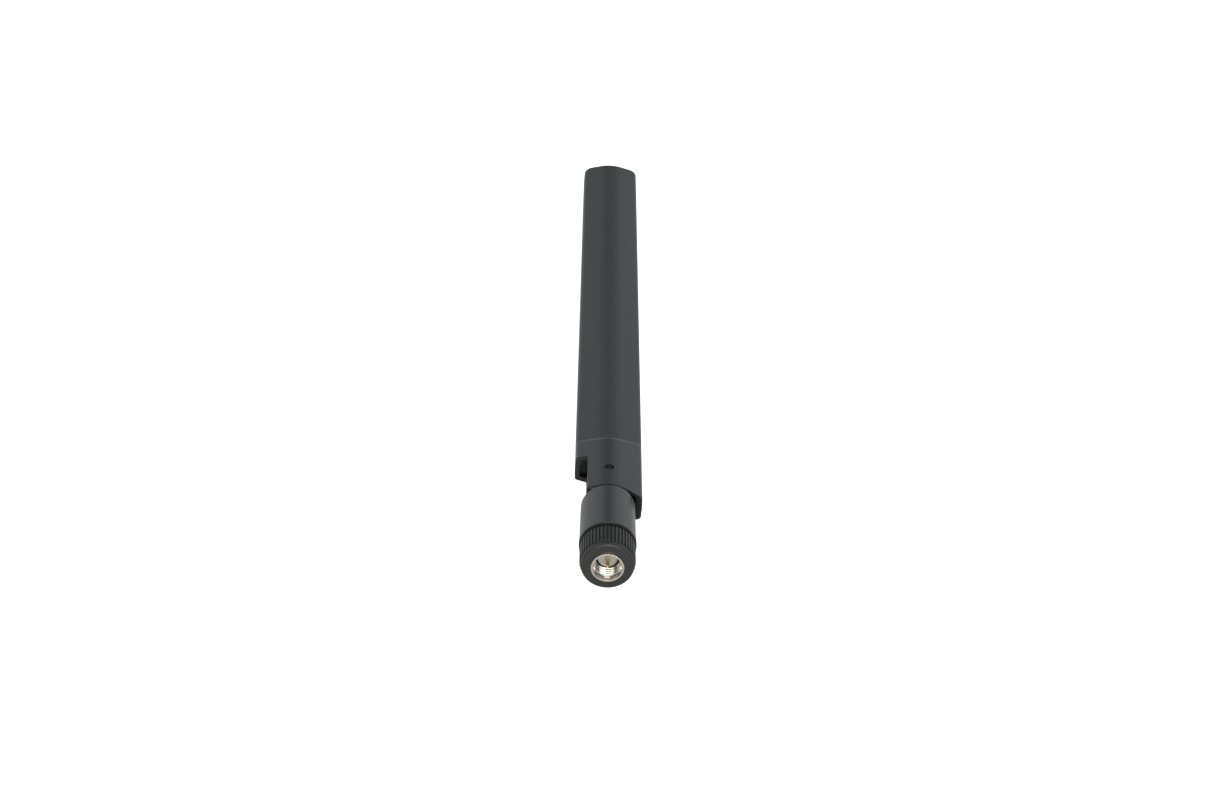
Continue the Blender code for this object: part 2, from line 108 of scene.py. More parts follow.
def camera_axes(along, lean):
    """Rows of the antenna's axes in the camera: Y is `along`, X is level, then X and Z turn by `lean`."""
    level = (Vector((1.0, 0.0, 0.0)) - along * along.x).normalized()
    upright = level.cross(along)
    across = level * math.cos(lean) - upright * math.sin(lean)
    out = level * math.sin(lean) + upright * math.cos(lean)
    return Matrix((across, along, out))


to_antenna = camera_axes(blade_in_camera, roll)
camera_data = bpy.data.cameras.new("camera")
camera_data.lens = lens_mm
camera_data.sensor_width = 36.0
camera_data.clip_start = 0.01
camera = bpy.data.objects.new("camera", camera_data)
bpy.context.scene.collection.objects.link(camera)
camera.matrix_world = Matrix.Translation(mouth - to_antenna @ mouth_in_camera) @ to_antenna.to_4x4()
bpy.context.scene.camera = camera
print("camera at", [round(v, 3) for v in camera.location])

# %% [markdown]
# ## Surfaces
#
# Every new shape here is a grid of points: rows along the piece, columns round it. One way would be to
# model by hand and push vertices about. A grid worked out as whole arrays is easier to size exactly, and
# one function can then make the faces and close the ends for all of them.

# %% Surfaces as grids of points


def woven(rows, columns, wrap_rows, wrap_columns):
    """Quads of a grid: point (i, j) joins (i+1, j), (i+1, j+1) and (i, j+1), and a wrap closes a side."""
    i = np.arange(rows if wrap_rows else rows - 1)[:, None]
    j = np.arange(columns if wrap_columns else columns - 1)[None, :]
    i_next, j_next = (i + 1) % rows, (j + 1) % columns
    corners = [i * columns + j, i_next * columns + j, i_next * columns + j_next, i * columns + j_next]
    return np.stack([np.broadcast_to(c, np.broadcast_shapes(i.shape, j.shape)) for c in corners], axis=-1)


def enclosed_volume(mesh):
    """Sum over triangles of one sixth of a . (b x c): positive when the faces point outwards."""
    mesh.calc_loop_triangles()
    index = np.empty(len(mesh.loop_triangles) * 3, np.int32)
    mesh.loop_triangles.foreach_get("vertices", index)
    place = np.empty(len(mesh.vertices) * 3)
    mesh.vertices.foreach_get("co", place)
    a, b, c = place.reshape(-1, 3)[index.reshape(-1, 3)].transpose(1, 0, 2)
    return float(np.einsum("ij,ij->", a, np.cross(b, c)) / 6.0)


def surface(name, points, wrap_rows=False, wrap_columns=True, capped=True, sharp=35.0):
    """A mesh over points[row, column, xyz]; the first and last rows are capped unless the rows wrap."""
    rows, columns = points.shape[:2]
    faces = woven(rows, columns, wrap_rows, wrap_columns).reshape(-1, 4).tolist()
    if capped and not wrap_rows:
        faces.append(list(range(columns)))
        faces.append(list(range((rows - 1) * columns, rows * columns))[::-1])
    mesh = bpy.data.meshes.new(name)
    mesh.from_pydata(points.reshape(-1, 3).tolist(), [], faces)
    mesh.update()
    if enclosed_volume(mesh) < 0.0:
        mesh.flip_normals()
    mesh.shade_smooth()
    mesh.set_sharp_from_angle(angle=math.radians(sharp))
    piece = bpy.data.objects.new(name, mesh)
    bpy.context.scene.collection.objects.link(piece)
    return piece


# %% [markdown]
# ## Light and floor
#
# Dark matte plastic shows its shape by what it reflects, and seen along its length it reflects what
# stands behind it. So the two tall softboxes stand behind, left and right: they draw the pale edges down
# the round barrel and leave its middle dark. Two more are on the camera's side, one wide and one small,
# for the faces that look forward and for the shadow under each rim, and the last hangs high above them.
# The floor is plain and pale. It is lit like everything else, and only what the camera sees of it
# directly is lifted to white.

# %% Floor, softboxes and sky
floor_reach = 3.0


def floor_points(reach):
    """A plane under the barrel's lip and the blade's tip: z rises evenly along y between the two."""
    rest_low, rest_high = barrel_low.z, radome_low.z
    slope = (rest_high - rest_low) / (tip_y - barrel_start)
    across, along = np.meshgrid(np.linspace(-reach, reach, 3), np.linspace(-reach, reach, 3))
    height = rest_low - 0.05 * mm + slope * (along - barrel_start)
    return np.stack([across, along, height], axis=-1)


floor = surface("floor", floor_points(floor_reach), wrap_columns=False, capped=False)
pale = bpy.data.materials.new("pale floor")
pale.use_nodes = True
floor_shader = pale.node_tree.nodes["Principled BSDF"]
floor_shader.inputs["Base Color"].default_value = (0.80, 0.78, 0.75, 1.0)
floor_shader.inputs["Roughness"].default_value = 0.9
floor_shader.inputs["Specular IOR Level"].default_value = 0.1
floor_shader.inputs["Emission Color"].default_value = (1.0, 1.0, 1.0, 1.0)
seen_directly = pale.node_tree.nodes.new("ShaderNodeLightPath").outputs["Is Camera Ray"]
pale.node_tree.links.new(seen_directly, floor_shader.inputs["Emission Strength"])
floor.data.materials.append(pale)

sky = bpy.data.worlds.new("studio")
sky.use_nodes = True
sky.node_tree.nodes["Background"].inputs["Color"].default_value = (0.86, 0.93, 1.0, 1.0)
sky.node_tree.nodes["Background"].inputs["Strength"].default_value = 0.20
bpy.context.scene.world = sky
bpy.context.scene.view_settings.view_transform = "Standard"


def softbox(name, azimuth, elevation, distance, width, height, watts, colour=(1.0, 1.0, 1.0)):
    """A soft rectangle of light facing the hinge: azimuth is degrees from the blade's direction towards
    +X, elevation is degrees above the floor."""
    turn, rise = math.radians(azimuth), math.radians(elevation)
    away = Vector((math.sin(turn) * math.cos(rise), math.cos(turn) * math.cos(rise), math.sin(rise)))
    data = bpy.data.lights.new(name, "AREA")
    data.shape = "RECTANGLE"
    data.size, data.size_y = width, height
    data.energy = watts
    data.color = colour
    light = bpy.data.objects.new(name, data)
    bpy.context.scene.collection.objects.link(light)
    light.location = Vector((0.0, pivot_y, 0.0)) + away * distance
    light.rotation_euler = away.to_track_quat("Z", "Y").to_euler()
    light.visible_camera = False
    return light


cool, warm = (0.93, 1.0, 0.99), (1.0, 0.98, 0.95)
softbox("left softbox", -47.0, 25.0, 1.5, 2.0, 1.6, 6.2, cool)
softbox("right softbox", 47.0, 25.0, 1.5, 2.0, 1.6, 6.9, cool)
softbox("front panel", 180.0, 22.0, 1.6, 2.0, 1.1, 15.8, warm)
softbox("front softbox", 170.0, 25.0, 1.2, 0.14, 0.12, 2.2, warm)
softbox("top softbox", 180.0, 62.0, 0.9, 0.50, 0.25, 2.4)

# %% [markdown]
# ## Finishes
#
# Nearly every surface here is one of two things: moulded plastic, with a fine spark-eroded grain from the
# mould, or turned and plated metal, with faint rings from the lathe. Each is a shader node group, built
# once and used with different numbers. A group gives out colours, roughness and heights only; the shader
# itself stays in the material, where the exporter can read it.

# %% Node helpers


def new_group(name, inputs, outputs):
    """An empty shader group: inputs are (name, socket type, default), outputs are (name, socket type)."""
    tree = bpy.data.node_groups.new(name, "ShaderNodeTree")
    for label, kind, default in inputs:
        socket = tree.interface.new_socket(name=label, in_out="INPUT", socket_type=kind)
        if default is not None:
            socket.default_value = default
    for label, kind in outputs:
        tree.interface.new_socket(name=label, in_out="OUTPUT", socket_type=kind)
    return tree, tree.nodes.new("NodeGroupInput"), tree.nodes.new("NodeGroupOutput")


def wire(tree, source, target):
    """Connects a socket or a plain number to an input."""
    if isinstance(source, (int, float)):
        target.default_value = source
    else:
        tree.links.new(source, target)


def maths(tree, operation, first, second=0.5, third=0.5, clamp=False):
    """One Math node: the operation on its values, each a socket or a number; gives its output."""
    node = tree.nodes.new("ShaderNodeMath")
    node.operation = operation
    node.use_clamp = clamp
    for socket, value in zip(node.inputs, (first, second, third)):
        wire(tree, value, socket)
    return node.outputs[0]


def noise(tree, vector, scale, detail=2.0):
    """One Noise Texture node read at the vector, at this scale and detail; gives its value."""
    node = tree.nodes.new("ShaderNodeTexNoise")
    wire(tree, vector, node.inputs["Vector"])
    wire(tree, scale, node.inputs["Scale"])
    node.inputs["Detail"].default_value = detail
    return node.outputs["Fac"]


FLOAT, VECTOR, COLOUR = "NodeSocketFloat", "NodeSocketVector", "NodeSocketColor"

# %% [markdown]
# The grain of a mould shows twice on real plastic: as tiny bumps, and as a faint unevenness in tone and
# shine. A picture could carry it, but noise needs no unwrapping and stays sharp close up, so the bumps,
# the tone and the shine are all made from noise on the piece's own coordinates.

# %% Moulded grain group


def build_moulded_grain():
    """Height is fine noise; colour is scaled by 1 + mottle x (broad noise - 1/2), with a few pale specks
    where a third noise peaks; roughness follows the first two."""
    tree, given, result = new_group(
        "moulded grain",
        [("Vector", VECTOR, None), ("Colour", COLOUR, None), ("Mottle", FLOAT, 0.1),
         ("Grain Scale", FLOAT, 4000.0), ("Roughness", FLOAT, 0.5), ("Roughness Spread", FLOAT, 0.1)],
        [("Colour", COLOUR), ("Roughness", FLOAT), ("Height", FLOAT)],
    )
    fine = noise(tree, given.outputs["Vector"], given.outputs["Grain Scale"], 3.0)
    broad_scale = maths(tree, "MULTIPLY", given.outputs["Grain Scale"], 0.03)
    broad = noise(tree, given.outputs["Vector"], broad_scale, 4.0)
    swing = maths(tree, "SUBTRACT", broad, 0.5)
    fine_swing = maths(tree, "SUBTRACT", fine, 0.5)
    both = maths(tree, "MULTIPLY_ADD", fine_swing, 0.8, swing)
    spot_scale = maths(tree, "MULTIPLY", given.outputs["Grain Scale"], 0.35)
    spots = noise(tree, given.outputs["Vector"], spot_scale, 1.0)
    speck = maths(tree, "MULTIPLY", maths(tree, "SUBTRACT", spots, 0.80), 30.0, clamp=True)
    mottled = maths(tree, "MULTIPLY_ADD", both, given.outputs["Mottle"], 1.0)
    speck_gain = maths(tree, "MULTIPLY", given.outputs["Mottle"], 5.0)
    factor = maths(tree, "MULTIPLY_ADD", speck, speck_gain, mottled)
    scaled = tree.nodes.new("ShaderNodeVectorMath")
    scaled.operation = "SCALE"
    wire(tree, given.outputs["Colour"], scaled.inputs[0])
    wire(tree, factor, scaled.inputs["Scale"])
    rough = maths(tree, "MULTIPLY_ADD", both, given.outputs["Roughness Spread"], given.outputs["Roughness"])
    wire(tree, scaled.outputs[0], result.inputs["Colour"])
    wire(tree, rough, result.inputs["Roughness"])
    wire(tree, fine, result.inputs["Height"])
    return tree


# %% [markdown]
# The edges are painted paler, a painted highlight for the light caught on their rounding, and made a little
# smoother. The highlight could be painted by hand. Here the shader finds the edges itself, by asking how
# far a rounded copy of the surface would lean away from it.

# %% Painted edge highlight group


def build_painted_edge_highlight():
    """Mask rises where the surface normal differs from the normal of a rounded copy, then breaks up."""
    # This mask places a painted highlight: the colour goes paler where light would catch the edges.
    tree, given, result = new_group(
        "painted edge highlight",
        [("Vector", VECTOR, None), ("Width", FLOAT, 0.0002), ("Breakup Scale", FLOAT, 1500.0)],
        [("Mask", FLOAT)],
    )
    rounded = tree.nodes.new("ShaderNodeBevel")
    rounded.samples = 4
    wire(tree, given.outputs["Width"], rounded.inputs["Radius"])
    geometry = tree.nodes.new("ShaderNodeNewGeometry")
    compare = tree.nodes.new("ShaderNodeVectorMath")
    compare.operation = "DOT_PRODUCT"
    wire(tree, rounded.outputs["Normal"], compare.inputs[0])
    wire(tree, geometry.outputs["Normal"], compare.inputs[1])
    apart = maths(tree, "SUBTRACT", 1.0, compare.outputs["Value"])
    breakup = noise(tree, given.outputs["Vector"], given.outputs["Breakup Scale"], 3.0)
    highlight_mask = maths(tree, "MULTIPLY", maths(tree, "MULTIPLY", apart, 4.0), breakup, clamp=True)
    wire(tree, highlight_mask, result.inputs["Mask"])
    return tree


# %% [markdown]
# Where the radome meets the housing, a thin pale line is painted round the seam: a painted highlight
# for the light caught on the rims' rounded edges, fainter towards the ridge. It has a known place along the
# blade, so a mask that falls off with the distance from it is enough.

# %% Painted seam highlight group


def build_painted_seam_highlight():
    """Mask of a thin ring of painted highlight round the seam: 1 where y is near the place, falling to 0
    at the width, fading towards the ridge with |x| / fade, and broken up a little."""
    tree, given, result = new_group(
        "painted seam highlight",
        [("Vector", VECTOR, None), ("Place", FLOAT, 0.0), ("Width", FLOAT, 0.0004), ("Fade", FLOAT, 0.004)],
        [("Mask", FLOAT)],
    )
    split = tree.nodes.new("ShaderNodeSeparateXYZ")
    wire(tree, given.outputs["Vector"], split.inputs[0])
    away = maths(tree, "ABSOLUTE", maths(tree, "SUBTRACT", split.outputs["Y"], given.outputs["Place"]))
    closeness = maths(tree, "SUBTRACT", 1.0, maths(tree, "DIVIDE", away, given.outputs["Width"]))
    near = maths(tree, "MULTIPLY", closeness, 2.5, clamp=True)
    sideways = maths(tree, "DIVIDE", maths(tree, "ABSOLUTE", split.outputs["X"]), given.outputs["Fade"])
    strength = maths(tree, "ADD", maths(tree, "MULTIPLY", sideways, 0.7, clamp=True), 0.3)
    breakup = noise(tree, given.outputs["Vector"], 900.0, 3.0)
    patchy = maths(tree, "MULTIPLY_ADD", breakup, 0.8, 0.6)
    highlight_mask = maths(tree, "MULTIPLY", maths(tree, "MULTIPLY", near, strength), patchy, clamp=True)
    wire(tree, highlight_mask, result.inputs["Mask"])
    return tree


# %% [markdown]
# A turned metal part carries fine rings round its axis. Noise read in ordinary coordinates would give
# spots. Read with the distance from the axis and the place along it, the same noise gives rings.

# %% Lathe rings group


def build_lathe_rings():
    """Height is noise over (distance from the axis, place along it), so every mark is a full ring."""
    tree, given, result = new_group(
        "lathe rings",
        [("Vector", VECTOR, None), ("Ring Scale", FLOAT, 9000.0)],
        [("Height", FLOAT)],
    )
    split = tree.nodes.new("ShaderNodeSeparateXYZ")
    wire(tree, given.outputs["Vector"], split.inputs[0])
    across = maths(tree, "MULTIPLY", split.outputs["X"], split.outputs["X"])
    squared = maths(tree, "MULTIPLY_ADD", split.outputs["Z"], split.outputs["Z"], across)
    radius = maths(tree, "SQRT", squared)
    joined = tree.nodes.new("ShaderNodeCombineXYZ")
    wire(tree, radius, joined.inputs["X"])
    wire(tree, split.outputs["Y"], joined.inputs["Y"])
    wire(tree, noise(tree, joined.outputs[0], given.outputs["Ring Scale"], 2.0), result.inputs["Height"])
    return tree


moulded_grain = build_moulded_grain()
painted_edge_highlight = build_painted_edge_highlight()
painted_seam_highlight = build_painted_seam_highlight()
lathe_rings = build_lathe_rings()
print("groups:", [tree.name for tree in bpy.data.node_groups])

# %% [markdown]
# A material is now a short list of numbers. The plastics differ in how coarse their grain is and how
# strong the painted highlight on their edges is; the metals differ in colour and in how deep the lathe
# rings are.

# %% Material builders


def begin_material(name, colour, metallic=0.0, sheen=0.0):
    """A Principled material with a coordinate node and a group for its grain; returns what links need."""
    material = bpy.data.materials.new(name)
    material.use_nodes = True
    tree = material.node_tree
    shader = tree.nodes["Principled BSDF"]
    shader.inputs["Metallic"].default_value = metallic
    shader.inputs["Sheen Weight"].default_value = sheen
    shader.inputs["Sheen Roughness"].default_value = 0.3
    place = tree.nodes.new("ShaderNodeTexCoord").outputs["Object"]
    grain = tree.nodes.new("ShaderNodeGroup")
    grain.node_tree = moulded_grain
    wire(tree, place, grain.inputs["Vector"])
    grain.inputs["Colour"].default_value = (*colour, 1.0)
    return material, tree, shader, place, grain


def add_bump(tree, shader, height, distance, normal=None):
    """A Bump node of that depth, in metres, feeding the shader or a further bump."""
    bump = tree.nodes.new("ShaderNodeBump")
    bump.inputs["Distance"].default_value = distance
    bump.inputs["Strength"].default_value = 1.0
    wire(tree, height, bump.inputs["Height"])
    if normal is not None:
        wire(tree, normal, bump.inputs["Normal"])
    wire(tree, bump.outputs["Normal"], shader.inputs["Normal"])
    return bump.outputs["Normal"]


def plastic(name, colour, roughness, grain_scale, depth,
            mottle=0.12, spread=0.1, edge=0.5, sheen=0.0, seam_highlight=0.0):
    """Moulded plastic: grain, a little mottling, and edges made smoother and painted paler, a painted
    highlight whose strength is edge. With a seam highlight, a pale line of painted highlight runs round the
    seam too."""
    material, tree, shader, place, grain = begin_material(name, colour, sheen=sheen)
    grain.inputs["Mottle"].default_value = mottle
    grain.inputs["Grain Scale"].default_value = grain_scale
    grain.inputs["Roughness"].default_value = roughness
    grain.inputs["Roughness Spread"].default_value = spread
    # Painted highlight: the edge mask, and the seam mask below, lift the colour towards a paler tone.
    edge_highlight_node = tree.nodes.new("ShaderNodeGroup")
    edge_highlight_node.node_tree = painted_edge_highlight
    wire(tree, place, edge_highlight_node.inputs["Vector"])
    highlight_amount = maths(tree, "MULTIPLY", edge_highlight_node.outputs["Mask"], edge, clamp=True)
    # A pale line of painted highlight round the seam.
    if seam_highlight > 0.0:
        ring = tree.nodes.new("ShaderNodeGroup")
        ring.node_tree = painted_seam_highlight
        ring.inputs["Place"].default_value = seam_y
        wire(tree, place, ring.inputs["Vector"])
        highlight_amount = maths(tree, "MULTIPLY_ADD", ring.outputs["Mask"], seam_highlight, highlight_amount, clamp=True)
    # Colour B is the painted highlight on the edges and round the seam.
    highlight_mix = tree.nodes.new("ShaderNodeMix")
    highlight_mix.data_type = "RGBA"
    wire(tree, highlight_amount, highlight_mix.inputs["Factor"])
    wire(tree, grain.outputs["Colour"], highlight_mix.inputs["A"])
    highlight_mix.inputs["B"].default_value = (*[min(1.0, 2.2 * c + 0.01) for c in colour], 1.0)
    wire(tree, highlight_mix.outputs["Result"], shader.inputs["Base Color"])
    smoother = maths(tree, "MULTIPLY_ADD", highlight_amount, -0.15, grain.outputs["Roughness"])
    wire(tree, smoother, shader.inputs["Roughness"])
    add_bump(tree, shader, grain.outputs["Height"], depth)
    return material


def metal(name, colour, roughness, ring_scale, depth, mottle=0.1, spread=0.12):
    """Turned and plated metal: lathe rings, slight blotches in colour and polish."""
    material, tree, shader, place, grain = begin_material(name, colour, metallic=1.0)
    grain.inputs["Mottle"].default_value = mottle
    grain.inputs["Grain Scale"].default_value = 6000.0
    grain.inputs["Roughness"].default_value = roughness
    grain.inputs["Roughness Spread"].default_value = spread
    wire(tree, grain.outputs["Colour"], shader.inputs["Base Color"])
    wire(tree, grain.outputs["Roughness"], shader.inputs["Roughness"])
    rings = tree.nodes.new("ShaderNodeGroup")
    rings.node_tree = lathe_rings
    wire(tree, place, rings.inputs["Vector"])
    rings.inputs["Ring Scale"].default_value = ring_scale
    add_bump(tree, shader, rings.outputs["Height"], depth)
    return material


# %% [markdown]
# These are the finishes themselves. Of the three black plastics the blade has the deepest grain and the
# grip the shallowest, and the housing is a little shinier than both. None of them is quite black.

# %% The object's own finishes
radome_black = plastic(
    "radome plastic", (0.023, 0.0262, 0.0248), 0.42, 5200.0, 0.012 * mm,
    0.3, edge=1.0, sheen=0.06, seam_highlight=1.6,
)
housing_black = plastic(
    "housing plastic", (0.0215, 0.024, 0.0252), 0.34, 6500.0, 0.008 * mm,
    0.3, edge=0.8, sheen=0.18, seam_highlight=1.6,
)
grip_black = plastic(
    "grip plastic", (0.0182, 0.0188, 0.0190), 0.44, 5000.0, 0.005 * mm,
    0.3, edge=0.5, sheen=0.05,
)
nickel = metal("nickel plate", (0.68, 0.65, 0.59), 0.14, 9000.0, 0.002 * mm)
gold = metal("gold plate", (0.95, 0.74, 0.40), 0.22, 12000.0, 0.0015 * mm)
bright_steel = metal("spring steel", (0.60, 0.60, 0.61), 0.30, 7000.0, 0.003 * mm)
copper = metal("copper foil", (0.80, 0.42, 0.28), 0.34, 3000.0, 0.002 * mm, mottle=0.25)
solder = metal("solder", (0.68, 0.68, 0.70), 0.30, 2500.0, 0.010 * mm)
fluoropolymer = plastic("bead dielectric", (0.47, 0.465, 0.45), 0.42, 3500.0, 0.003 * mm, 0.05, edge=0.0)
jacket = plastic("cable jacket", (0.016, 0.016, 0.018), 0.32, 3000.0, 0.002 * mm)
# The hollow's inner faces get a far darker colour than the housing: painted shade for the unlit inside.
painted_shade_inside = plastic("housing inside painted shade", (0.006, 0.006, 0.006), 0.30, 6500.0, 0.002 * mm, edge=0.0)
silicone = plastic("gasket rubber", (0.022, 0.014, 0.010), 0.6, 4000.0, 0.004 * mm)
foam = plastic("board foam", (0.12, 0.12, 0.12), 0.95, 2500.0, 0.12 * mm, mottle=0.6)
solder_mask = plastic("board solder mask", (0.03, 0.16, 0.06), 0.35, 1400.0, 0.010 * mm, mottle=0.3)
print("materials:", len(bpy.data.materials))

# %% [markdown]
# ## Outlines with rounded corners
#
# A mould maker draws straight lines and then breaks every corner with a radius. The same idea serves here:
# an outline is a short list of corners, each with its radius, and one function puts in the arcs. It makes
# the blade's six-sided section, the barrel's profile and the grip's rim alike.

# %% Rounded outlines


def rounded(corners, closed=True, steps=None):
    """Each corner (a, b, radius) becomes an arc touching both its sides; the arc's centre lies on the
    corner's bisector at radius / sin(half the corner's angle)."""
    spot = np.array([corner[:2] for corner in corners], float)
    out = []
    last = len(corners) - 1
    for k, (_, _, radius) in enumerate(corners):
        if radius <= 0.0 or (not closed and k in (0, last)):
            out.append(spot[k][None, :])
            continue
        back = spot[k - 1] - spot[k]
        ahead = spot[(k + 1) % len(corners)] - spot[k]
        back, ahead = back / np.linalg.norm(back), ahead / np.linalg.norm(ahead)
        half = math.acos(float(np.clip(back @ ahead, -1.0, 1.0))) / 2.0
        centre = spot[k] + (back + ahead) / np.linalg.norm(back + ahead) * radius / math.sin(half)
        start = spot[k] + back * radius / math.tan(half) - centre
        end = spot[k] + ahead * radius / math.tan(half) - centre
        sweep = math.atan2(start[0] * end[1] - start[1] * end[0], start @ end)
        count = steps or max(6, round(abs(math.degrees(sweep)) / 2.5))
        turn = np.linspace(0.0, sweep, count + 1)
        cosine, sine = np.cos(turn)[:, None], np.sin(turn)[:, None]
        across = np.array([-start[1], start[0]])
        out.append(centre + cosine * start + sine * across)
    return np.concatenate(out)


def lathed(profile, columns):
    """Each (radius, y) of the profile becomes a ring: x = radius sin(angle), z = radius cos(angle)."""
    angle = np.linspace(0.0, 2.0 * math.pi, columns, endpoint=False)[None, :]
    radius, y = profile[:, :1], profile[:, 1:]
    return np.stack([radius * np.sin(angle), y + 0.0 * angle, radius * np.cos(angle)], axis=-1)


def along_z(points, y):
    """Turns a shape lathed about Y so that its axis is Z, and moves it to the hinge's place y."""
    return np.stack([points[..., 0], y - points[..., 2], points[..., 1]], axis=-1)


# %% [markdown]
# Each finished piece stands for one or more pieces of the working model and moves with one of its three
# bodies. Saying so is the same few lines every time, so one helper says them and prints the face count.

# %% Placing a finished piece


def dress(piece, material):
    """Gives the piece the material when it has no material slot yet."""
    if len(piece.data.materials) == 0:
        piece.data.materials.append(material)


def fit_out(piece, material, body, nodes):
    """Gives a piece its material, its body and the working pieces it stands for."""
    dress(piece, material)
    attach(piece, body)
    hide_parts(*nodes)
    print(f"{piece.name}: {len(piece.data.polygons)} faces")


# %% [markdown]
# ## The blade
#
# The radome is one long moulding: a flat six-sided section with a soft ridge down each broad face, closed
# by a rounded tip. It could be a box with bevels, but the ridge and the corners run into the tip at
# different radii, so a loft says it better. Each row of the grid is the whole section at one station, and
# near the tip the section grows narrower along one arc and thinner along a tighter one.

# %% The blade's section
half_width, half_height = radome_high.x, radome_high.z
wall = 1.1 * mm
face_slope = 0.258
ridge_rise = 0.41 * mm          # how far the two faces would meet above the rounded ridge
side_draft = 0.12 * mm
ridge_rounding = 12.5 * mm
corner_rounding = 0.85 * mm
tip_rounding = 3.2 * mm
tip_edge_rounding = 1.2 * mm


def blade_section(inset=0.0, narrow=0.0, thin=0.0):
    """Six-sided section: two faces fall by face_slope from a rounded ridge, and sides lean in by the
    draft. An inset moves every face inwards by the same distance."""
    lean = math.sqrt(1.0 + face_slope**2)
    apex = half_height + ridge_rise - inset * lean - thin
    middle_x = half_width - inset - narrow
    side = middle_x - side_draft
    shoulder = apex - face_slope * side
    corner = max(corner_rounding - inset, 0.2 * mm)
    upper = [(0.0, apex, ridge_rounding - inset), (side, shoulder, corner), (middle_x, 0.0, 0.0)]
    lower = [(side, -shoulder, corner), (0.0, -apex, ridge_rounding - inset), (-side, -shoulder, corner)]
    return rounded(upper + lower + [(-middle_x, 0.0, 0.0), (-side, shoulder, corner)])


def station(y, section):
    """A section (x, z) placed at y, as one row of a grid."""
    return np.stack([section[:, 0], np.full(len(section), y), section[:, 1]], axis=-1)


def tip_rows(end, inset, steps=14):
    """Rows over the tip: with angle t from 0 to 90 degrees, the section narrows by r (1 - cos t) at
    y = end - r + r sin t, and thins along the tighter face radius once y is within reach of it."""
    side_radius = tip_rounding - inset
    face_radius = max(tip_edge_rounding - inset, 0.2 * mm)
    rows = []
    for angle in np.linspace(0.0, math.pi / 2.0, steps + 1):
        y = end - side_radius + side_radius * math.sin(angle)
        into_face = max(y - (end - face_radius), 0.0) / face_radius
        thin = face_radius * (1.0 - math.sqrt(max(1.0 - into_face**2, 0.0)))
        rows.append(station(y, blade_section(inset, side_radius * (1.0 - math.cos(angle)), thin)))
    return rows


# %% [markdown]
# The cover is a hollow moulding, open where it meets the housing. A Solidify modifier could give the wall.
# Carrying the rows on round the rim and back inside makes the wall in the same grid, with a rounded rim.

# %% Radome
seam_gap = 0.02 * mm
seam_edge = 0.12 * mm


def open_rim(start, edge, steps=4):
    """Rows round the open end's outer edge: a quarter circle of radius edge."""
    angles = np.linspace(0.0, math.pi / 2.0, steps + 1)
    return [
        station(start + edge * (1.0 - math.sin(t)), blade_section(edge * (1.0 - math.cos(t))))
        for t in angles[::-1]
    ]


radome_start = seam_y + seam_gap / 2
inner_rows = [station(radome_start, blade_section(wall))] + tip_rows(tip_y - wall, wall, 6)
straight = [station(y, blade_section()) for y in np.linspace(radome_start + 1.0 * mm, tip_y - 6.0 * mm, 12)]
outer_rows = open_rim(radome_start, seam_edge) + straight + tip_rows(tip_y, 0.0)
radome = surface("radome_cover", np.stack(inner_rows[::-1] + outer_rows))
fit_out(radome, radome_black, "blade", ["radome"])

# %% [markdown]
# ## The hinge housing
#
# Two half shells grip the barrel's tongue between them. One side is cut away so that the blade can fold
# over the tongue, and the lower corner is cut across to clear the barrel as it swings. The foot is hollowed
# by a cone round the barrel's axis, and a rib thickens the wall on the closed side. These are cuts made
# through a simple section, so the shells start as lofts, the cuts are Boolean tools with the same
# section maths, and a fine bevel breaks every edge at the end, as the mould does.

# %% Cutting and softening


def combine(piece, tool, operation, finish=None):
    """Applies an exact Boolean with a tool that is then thrown away; a finish stays on the tool's faces."""
    change = piece.modifiers.new(operation, "BOOLEAN")
    change.operation = operation
    change.solver = "EXACT"
    if finish is not None:
        tool.data.materials.append(finish)
        change.material_mode = "TRANSFER"
    change.object = tool
    bpy.context.view_layer.objects.active = piece
    bpy.ops.object.modifier_apply(modifier=change.name)
    bpy.data.objects.remove(tool, do_unlink=True)


def soften(piece, width, segments=3, limit=38.0):
    """Breaks edges sharper than the limit with a small rounded bevel."""
    piece.data.shade_smooth()
    bevel = piece.modifiers.new("broken edges", "BEVEL")
    bevel.width = width
    bevel.segments = segments
    bevel.limit_method = "ANGLE"
    bevel.angle_limit = math.radians(limit)
    bevel.harden_normals = True
    bevel.use_clamp_overlap = True


def prism(name, outline, low, high):
    """An outline of (x, y) points carried from z = low to z = high."""
    rows = [np.column_stack([outline, np.full(len(outline), z)]) for z in (low, high)]
    return surface(name, np.stack(rows))


def loft_between(name, section, start, end):
    """The same section at two stations along y, joined by straight sides."""
    return surface(name, np.stack([station(start, section), station(end, section)]))


# %% [markdown]
# The sizes of the hinge come first, and each cut follows from them. The two halves are mirror images, so
# one function makes either of them. The cuts are made in the order a toolmaker might think of them: the
# hollow, the bosses round the holes, the open side, the foot, and last the plane where the halves part.

# %% Hinge sizes
tongue_half_width = 5.0 * mm
tongue_half_thickness = 1.7 * mm
cavity_end = pivot_y + tongue_half_width + 1.9 * mm
notch_top = pivot_y + tongue_half_width + 0.7 * mm
notch_foot = pivot_y - 6.8 * mm
corner_foot = 0.0 * mm          # the corner's cut starts on the barrel's axis
side_rib_inner = 6.3 * mm
side_rib_outer = 7.4 * mm
side_rib_height = 2.6 * mm
pivot_hole = 1.22 * mm
pivot_pin = 1.15 * mm
pivot_recess = 0.75 * mm
parting_gap = 0.05 * mm
cable_radius = 0.685 * mm
cable_channel = cable_radius + 0.26 * mm
spigot_end = yoke_high.y


def foot_cone():
    """The hollow turned out of both halves' feet about the barrel's axis: radius 7.6 mm at the foot,
    shrinking by 4 mm for each 3 mm up towards the pivot."""
    widest, fall, reach = 7.6 * mm, 4.0 / 3.0, 3.6 * mm
    profile = np.array([
        (widest + fall * 1.0 * mm, yoke_start - 1.0 * mm), (widest - fall * reach, yoke_start + reach),
    ])
    return surface("foot_cone", lathed(profile, 160))


